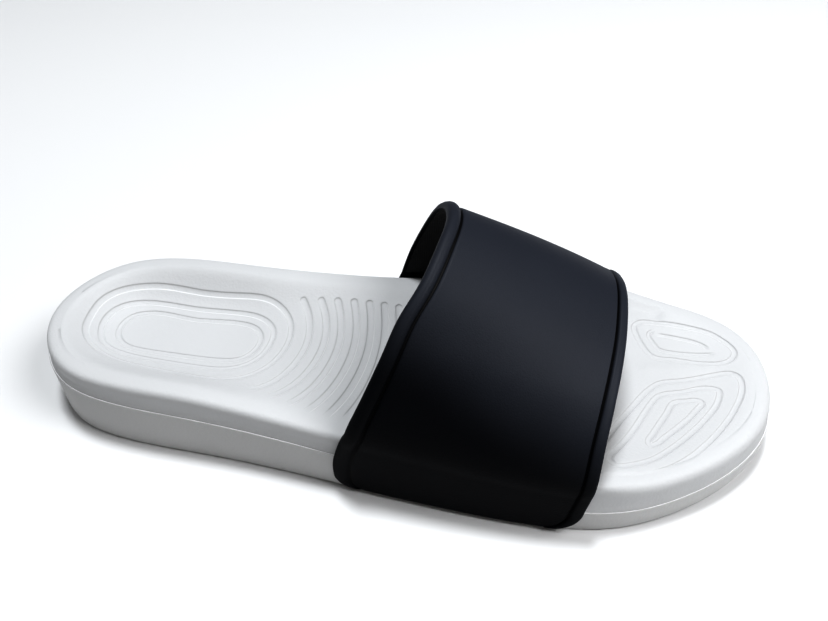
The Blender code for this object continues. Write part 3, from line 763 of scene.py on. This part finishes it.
def fold_place(turn, share):
    """The inside of the strap: turn runs from one flap to the other, share from rear edge to front edge."""
    knots = np.linspace(0, 1, len(FOLDS))
    read = {name: smooth_curve(knots, column(FOLDS, name), turn) for name in Fold._fields}
    across = read["rear_across"] + (read["front_across"] - read["rear_across"]) * share
    rear_x = STRAP_REAR + STRAP_LEAN * read["rear_along"]
    front_x = STRAP_FRONT + STRAP_BOW * read["front_along"]
    up = read["rear_up"] + (read["front_up"] - read["rear_up"]) * share
    drop = rim_z(rear_x + (front_x - rear_x) * share) - FLAP_FLOOR
    above_floor = np.where(up < 0, (1 + up) * drop, drop)
    rear_x = rear_x + corner_inset(above_floor, FLAP_REAR_RADIUS)
    front_x = front_x - corner_inset(above_floor, FLAP_FRONT_RADIUS)
    x = rear_x + (front_x - rear_x) * share
    left = side_y(LATERAL, x)
    right = side_y(MEDIAL, x)
    y = (left + right) / 2 + across * (right - left) / 2
    rear_rise = INSTEP_HEIGHT - rim_z(rear_x)
    front_rise = FRONT_HEIGHT - rim_z(front_x)
    rim = rim_z(x)
    over = rim + read["rear_up"] * rear_rise * (1 - share) + read["front_up"] * front_rise * share
    return np.stack([x, y, np.where(up > 0, over, rim + up * (rim - FLAP_FLOOR))], -1)


def strap_grid(turns, shares):
    """Inside points of the strap and their outward normals, a row for each turn."""
    turn, share = np.meshgrid(turns, shares, indexing="ij")
    before, after = (np.clip(share + step, 0, 1) for step in (-NORMAL_STEP, NORMAL_STEP))
    along = fold_place(turn, after) - fold_place(turn, before)
    before, after = (np.clip(turn + step, 0, 1) for step in (-NORMAL_STEP, NORMAL_STEP))
    around = fold_place(after, share) - fold_place(before, share)
    normals = np.cross(along, around)
    normals /= np.linalg.norm(normals, axis=-1)[..., None]
    return fold_place(turn, share), normals


def strap_turns():
    """Places around the strap, closer together down the flaps."""
    even = np.linspace(0, 1, STRAP_TURN + 1)
    return even - STRAP_CROWD * np.sin(2 * math.pi * even)


def sheet_faces(rows, columns):
    """Faces of a closed sheet whose vertices are the inside rows followed by the outside rows."""
    number = np.arange(rows * columns).reshape(rows, columns)
    lower = number.tolist()
    upper = (number + rows * columns).tolist()
    faces = grid_faces(upper)
    faces += [face[::-1] for face in grid_faces(lower)]
    border = [(i, 0) for i in range(rows)]
    border += [(rows - 1, k) for k in range(1, columns)]
    border += [(i, columns - 1) for i in range(rows - 2, -1, -1)]
    border += [(0, k) for k in range(columns - 2, 0, -1)]
    for (a, b), (c, d) in zip(border, border[1:] + border[:1]):
        faces.append((lower[a][b], lower[c][d], upper[c][d], upper[a][b]))
    return faces


def sheet_object(name, inner, outer, sharp_angle=SHARP_ANGLE):
    """A closed sheet between two grids of places."""
    vertices = np.vstack([inner.reshape(-1, 3), outer.reshape(-1, 3)])
    return mesh_object(name, vertices, sheet_faces(*inner.shape[:2]), sharp_angle)


def build_strap():
    """The hollow strap with its bead, grooves and flat front rim."""
    rear = [(row.place / 1000, row.rise / 1000) for row in REAR_PROFILE]
    front = [(STRAP_LENGTH + row.place / 1000, row.rise / 1000) for row in FRONT_PROFILE]
    gap = front[0][0] - rear[-1][0]
    panel = [(rear[-1][0] + gap * k / STRAP_PANEL, 0.0) for k in range(1, STRAP_PANEL)]
    profile = np.array(rear + panel + front)
    shares = profile[:, 0] / STRAP_LENGTH
    inner, normals = strap_grid(strap_turns(), shares)
    low = np.minimum(strap_turns(), 1 - strap_turns())
    bead = BEAD_LOW + (1 - BEAD_LOW) * ramp(low, *BEAD_TURNS)
    bead = np.where(np.arange(len(profile)) < len(rear), bead[:, None], 1)
    outer = inner + normals * (STRAP_WALL + profile[:, 1] * bead)[:, :, None]
    strap = sheet_object("strap_skin", inner, outer)
    # marks the deep grooves, which the finish darkens as painted shade
    within = (profile[:, 0] > CREASE_MARGIN) & (profile[:, 0] < STRAP_LENGTH - CREASE_MARGIN)
    crease = (profile[:, 1] < -CREASE_DEPTH) & within
    add_attribute(strap, "crease", np.tile(crease, 2 * len(inner)))
    return strap


def build_lining():
    """A thin knit lining inside the strap, which stops just short of the strap's edges."""
    turns = np.linspace(*LINING_TURNS, LINING_ROWS)
    inset = LINING_INSET / STRAP_LENGTH
    shares = np.linspace(inset, 1 - inset, LINING_COLUMNS)
    places, normals = strap_grid(turns, shares)
    near = np.minimum(turns - turns[0], turns[-1] - turns)[:, None]
    thick = LINING_THICKNESS * ramp(near, 0, LINING_FADE)
    inner = places - normals * thick[..., None]
    outer = places + normals * LINING_THICKNESS / 2
    return sheet_object("strap_lining", inner, outer, LINING_SHARP_ANGLE)


class Value:
    """A shader socket that takes plain arithmetic."""

    def __init__(self, shading, socket):
        self.shading = shading
        self.socket = socket

    def math(self, operation, first, second):
        """One step of arithmetic."""
        return self.shading.node("ShaderNodeMath", {"operation": operation}, {0: first, 1: second})

    def __add__(self, other):
        return self.math("ADD", self, other)

    def __radd__(self, other):
        return self.math("ADD", other, self)

    def __sub__(self, other):
        return self.math("SUBTRACT", self, other)

    def __rsub__(self, other):
        return self.math("SUBTRACT", other, self)

    def __mul__(self, other):
        return self.math("MULTIPLY", self, other)

    def __rmul__(self, other):
        return self.math("MULTIPLY", other, self)

    def __truediv__(self, other):
        return self.math("DIVIDE", self, other)

    def __rtruediv__(self, other):
        return self.math("DIVIDE", other, self)

    def clamped(self):
        """Held between 0 and 1."""
        return self.math("MINIMUM", self.math("MAXIMUM", self, 0.0), 1.0)

    def softened(self):
        """A soft step of a value from 0 to 1."""
        return self * self * (3.0 - 2.0 * self)


class Shading:
    """The node tree of one finish."""

    def __init__(self, name):
        self.material = bpy.data.materials.new(name)
        self.material.use_nodes = True
        self.tree = self.material.node_tree
        self.surface = self.tree.nodes["Principled BSDF"]
        self.place = self.node("ShaderNodeTexCoord", {}, {}, "Object")

    def put(self, socket, value):
        """Links a value into a socket, or sets it there."""
        if isinstance(value, Value):
            self.tree.links.new(value.socket, socket)
        else:
            socket.default_value = value

    def node(self, kind, settings, inputs, output=0):
        """Any node, with its settings and inputs."""
        node = self.tree.nodes.new(kind)
        for name, value in settings.items():
            setattr(node, name, value)
        for name, value in inputs.items():
            self.put(node.inputs[name], value)
        return Value(self, node.outputs[output])

    def noise(self, grain):
        """Clouds or specks of one of the grains named above."""
        inputs = {"Vector": self.place, "Scale": grain.scale}
        inputs.update({"Detail": grain.detail, "Roughness": grain.roughness})
        return self.node("ShaderNodeTexNoise", {}, inputs, "Fac")

    def cells(self, scale):
        """Soft cells, lowest at each cell's middle."""
        inputs = {"Vector": self.place, "Scale": scale}
        return self.node("ShaderNodeTexVoronoi", {"feature": "SMOOTH_F1"}, inputs, "Distance")

    def attribute(self, name):
        """A number kept on the vertices."""
        return self.node("ShaderNodeAttribute", {"attribute_name": name}, {}, "Fac")

    def mix(self, share, first, second):
        """A colour between two."""
        first, second = ((*tone, 1) if isinstance(tone, tuple) else tone for tone in (first, second))
        inputs = {MIX_SHARE: share, MIX_FIRST: first, MIX_SECOND: second}
        return self.node("ShaderNodeMix", {"data_type": "RGBA"}, inputs, MIX_RESULT)

    def bump(self, height, strength, distance):
        """Lets a height shape the surface's normals."""
        inputs = {"Strength": strength, "Distance": distance, "Height": height}
        self.put(self.surface.inputs["Normal"], self.node("ShaderNodeBump", {}, inputs))

    def surface_set(self, **values):
        """Sets or links the surface's inputs by name."""
        for name, value in values.items():
            self.put(self.surface.inputs[name.replace("_", " ")], value)


def foam_finish(name, light, shade, grain, edge=0.0, pale=None):
    """Matt moulded foam: a fine pebbled skin, faint clouds, a little dust, and, where asked, painted
    highlight and painted shade on the groove lips, and a painted highlight along the ledge.
    """
    shading = Shading(name)
    cloud = shading.noise(FOAM_CLOUD)
    speck = shading.noise(FOAM_SPECK)
    pebble = shading.cells(PEBBLE_SCALE)
    dust = ((shading.noise(FOAM_DUST) - DUST_LEVEL) * DUST_CONTRAST).clamped()
    tone = shading.mix((cloud * FOAM_TONE.cloud + speck * FOAM_TONE.grain).clamped(), shade, light)
    tone = shading.mix(dust * DUST_SHARE, tone, DUST)
    skin = (speck * SPECK_HEIGHT + pebble * PEBBLE_HEIGHT + cloud * CLOUD_HEIGHT) * grain
    if edge:
        past, share, side = (shading.attribute(name) for name in ("past_lip", "groove_share", "lip_side"))
        inside = ((past + LIP_WIDTH) / LIP_WIDTH).clamped()
        skin = skin + (inside.softened() - 1.0) * share * (edge / BUMP_UNIT)
        # painted highlight on the lip towards LIT_LIP, painted shade on the other lip
        band = 4.0 * inside * (1.0 - inside) * share
        tone = shading.mix(band * (LIP_TURN * side).clamped() * LIP_HIGHLIGHT_SHARE, tone, LIP_PAINTED_HIGHLIGHT)
        tone = shading.mix(band * (-LIP_TURN * side).clamped() * LIP_SHADE_SHARE, tone, LIP_PAINTED_SHADE)
    # painted highlight along the ledge
    if pale:
        tone = shading.mix(shading.attribute("ledge"), tone, pale)
    rough = FOAM_ROUGHNESS.base + FOAM_ROUGHNESS.cloud * cloud + FOAM_ROUGHNESS.grain * speck
    shading.surface_set(Base_Color=tone, Roughness=rough, Metallic=0.0)
    shading.surface_set(Specular_IOR_Level=FOAM_SPECULAR)
    shading.bump(skin, 1.0, BUMP_UNIT)
    return shading.material


def strap_finish(name, grain):
    """Near-black coated strap with a very fine grain, painted shade low down, a painted sheen with a faint
    coat towards its upper front, and painted shade in its deep grooves.
    """
    shading = Shading(name)
    fine = shading.noise(STRAP_FINE)
    cell = shading.cells(STRAP_CELL_SCALE)
    cloud = shading.noise(STRAP_CLOUD)
    height = shading.node("ShaderNodeSeparateXYZ", {}, {"Vector": shading.place}, "Z")
    ahead = Value(shading, height.socket.node.outputs["X"])
    # painted sheen: the colour grows lighter upwards and forwards, and the coat grows with it
    sheen_share = (height + SHEEN_LEAN * ahead - SHEEN_START) / (SHEEN_END - SHEEN_START)
    sheen_share = (sheen_share + SHEEN_CLOUD * (cloud - 0.5)).clamped().softened()
    mottled = (STRAP_TONE.base + STRAP_TONE.cloud * cloud + STRAP_TONE.grain * fine).clamped()
    deep = shading.mix(mottled, DEEP_SHADE, DEEP_LIGHT)
    sheen = shading.mix(mottled, SHEEN_SHADE, SHEEN_LIGHT)
    # painted shade in the deep grooves
    tone = shading.mix(shading.attribute("crease"), shading.mix(sheen_share, deep, sheen), CREASE_PAINTED_SHADE)
    rough = STRAP_ROUGHNESS.base + STRAP_ROUGHNESS.grain * fine + STRAP_ROUGHNESS.cloud * cloud
    shading.surface_set(Base_Color=tone, Roughness=rough, Metallic=0.0)
    shading.surface_set(Coat_Weight=SHEEN_COAT * sheen_share, Coat_Roughness=COAT_ROUGHNESS)
    shading.surface_set(Specular_IOR_Level=STRAP_SPECULAR)
    shading.bump(fine * STRAP_HEIGHT + cell * STRAP_HEIGHT, grain, STRAP_BUMP)
    return shading.material


def knit_finish(name):
    """Black knit lining: fine crossing ribs."""
    shading = Shading(name)
    ribs = {"Vector": shading.place, "Scale": RIB_SCALE, "Distortion": RIB_DISTORTION, "Detail": 1.0}
    along = shading.node("ShaderNodeTexWave", {"bands_direction": "X"}, ribs, "Fac")
    across = shading.node("ShaderNodeTexWave", {"bands_direction": "Y"}, ribs, "Fac")
    fuzz = shading.noise(KNIT_FUZZ)
    tone = shading.mix((along * across + FUZZ_TONE * fuzz).clamped(), KNIT_SHADE, KNIT_LIGHT)
    rough = KNIT_ROUGHNESS.base + KNIT_ROUGHNESS.grain * fuzz
    shading.surface_set(Base_Color=tone, Roughness=rough, Metallic=0.0)
    shading.bump(along * RIB_HEIGHT + across * RIB_HEIGHT + fuzz * FUZZ_HEIGHT, KNIT_STRENGTH, KNIT_BUMP)
    return shading.material


def floor_finish():
    """Plain pale studio floor."""
    shading = Shading("studio_floor")
    cloud = shading.noise(FLOOR_CLOUD)
    tone = shading.mix(cloud, FLOOR_SHADE, FLOOR_LIGHT)
    shading.surface_set(Base_Color=tone, Roughness=FLOOR_ROUGHNESS, Metallic=0.0)
    return shading.material


def add_lamp(lamp, key_strength):
    """A disc light aimed at a place."""
    light = bpy.data.lights.new(lamp.name, "AREA")
    light.shape = "DISK"
    light.size = lamp.size
    light.energy = key_strength * lamp.share
    light.color = lamp.tint
    thing = bpy.data.objects.new(lamp.name, light)
    thing.location = lamp.place
    thing.rotation_euler = (Vector(lamp.aim) - Vector(lamp.place)).to_track_quat("-Z", "Y").to_euler()
    bpy.context.scene.collection.objects.link(thing)


def add_camera():
    """The camera, at the photograph's angle."""
    scene = bpy.context.scene
    lens = bpy.data.cameras.new("camera")
    lens.sensor_width = CAMERA_SENSOR
    lens.lens = CAMERA_LENS
    camera = bpy.data.objects.new("camera", lens)
    scene.collection.objects.link(camera)
    ahead, aside = math.cos(CAMERA_AZIMUTH), math.sin(CAMERA_AZIMUTH)
    flat = math.cos(CAMERA_ELEVATION)
    back = Vector((aside * flat, -ahead * flat, math.sin(CAMERA_ELEVATION)))
    right = Vector((ahead, aside, 0))
    up = back.cross(right)
    leaned_right = math.cos(CAMERA_ROLL) * right + math.sin(CAMERA_ROLL) * up
    leaned_up = math.cos(CAMERA_ROLL) * up - math.sin(CAMERA_ROLL) * right
    turn = Matrix((leaned_right, leaned_up, back)).transposed().to_4x4()
    camera.matrix_world = Matrix.Translation(Vector(CAMERA_PLACE) + Vector(SHIFT)) @ turn
    scene.camera = camera


class SANDAL_OT_sole(bpy.types.Operator):
    """Builds the footbed and outsole surfaces"""

    bl_idname = "sandal.sole"
    bl_label = "Build sole"

    def execute(self, context):
        settings = context.scene.sandal
        footbed = build_footbed(settings)
        outsole = build_outsole()
        grain = settings.foam_grain
        footbed.data.materials.append(
            foam_finish("footbed_foam", FOOTBED_LIGHT, FOOTBED_SHADE, grain, settings.groove_edge))
        outsole.data.materials.append(
            foam_finish("outsole_foam", OUTSOLE_LIGHT, OUTSOLE_SHADE, grain * OUTSOLE_GRAIN, pale=LEDGE_PAINTED_HIGHLIGHT))
        for piece, node in ((footbed, "footbed"), (outsole, "outsole")):
            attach(piece, "root")
            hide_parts(node)
        return {"FINISHED"}


class SANDAL_OT_strap(bpy.types.Operator):
    """Builds the strap and its lining"""

    bl_idname = "sandal.strap"
    bl_label = "Build strap"

    def execute(self, context):
        settings = context.scene.sandal
        strap = build_strap()
        strap.data.materials.append(strap_finish("strap_black", settings.strap_grain))
        lining = build_lining()
        lining.data.materials.append(knit_finish("lining_knit"))
        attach(strap, "root")
        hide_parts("strap")
        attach(lining, "root")
        return {"FINISHED"}


class SANDAL_OT_stage(bpy.types.Operator):
    """Builds the floor, lights and camera"""

    bl_idname = "sandal.stage"
    bl_label = "Build stage"

    def execute(self, context):
        scene = context.scene
        bpy.ops.mesh.primitive_plane_add(size=FLOOR_SIZE, location=(0, 0, -FLOOR_DROP))
        floor = context.active_object
        floor.name = "floor"
        floor.data.materials.append(floor_finish())
        world = bpy.data.worlds.new("studio")
        world.use_nodes = True
        background = world.node_tree.nodes["Background"]
        background.inputs["Color"].default_value = (*SKY_TONE, 1)
        background.inputs["Strength"].default_value = SKY_STRENGTH
        scene.world = world
        for lamp in LAMPS:
            add_lamp(lamp, scene.sandal.key_strength)
        add_camera()
        scene.view_settings.view_transform = "Standard"
        scene.view_settings.look = "None"
        scene.view_settings.gamma = VIEW_GAMMA
        return {"FINISHED"}


class SANDAL_PT_panel(bpy.types.Panel):
    """Sidebar panel with the sandal's settings"""

    bl_idname = "SANDAL_PT_panel"
    bl_label = "Slide sandal"
    bl_space_type = "VIEW_3D"
    bl_region_type = "UI"
    bl_category = "Sandal"

    def draw(self, context):
        for name in SandalSettings.__annotations__:
            self.layout.prop(context.scene.sandal, name)
        for operator in (SANDAL_OT_sole, SANDAL_OT_strap, SANDAL_OT_stage):
            self.layout.operator(operator.bl_idname)


CLASSES = (SandalSettings, SANDAL_OT_sole, SANDAL_OT_strap, SANDAL_OT_stage, SANDAL_PT_panel)


def register():
    for kind in CLASSES:
        bpy.utils.register_class(kind)
    bpy.types.Scene.sandal = PointerProperty(type=SandalSettings)


def unregister():
    del bpy.types.Scene.sandal
    for kind in reversed(CLASSES):
        bpy.utils.unregister_class(kind)


def main():
    """Builds every group."""
    register()
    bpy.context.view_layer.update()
    bpy.ops.sandal.sole()
    bpy.ops.sandal.strap()
    bpy.ops.sandal.stage()


if __name__ == "__main__":
    main()
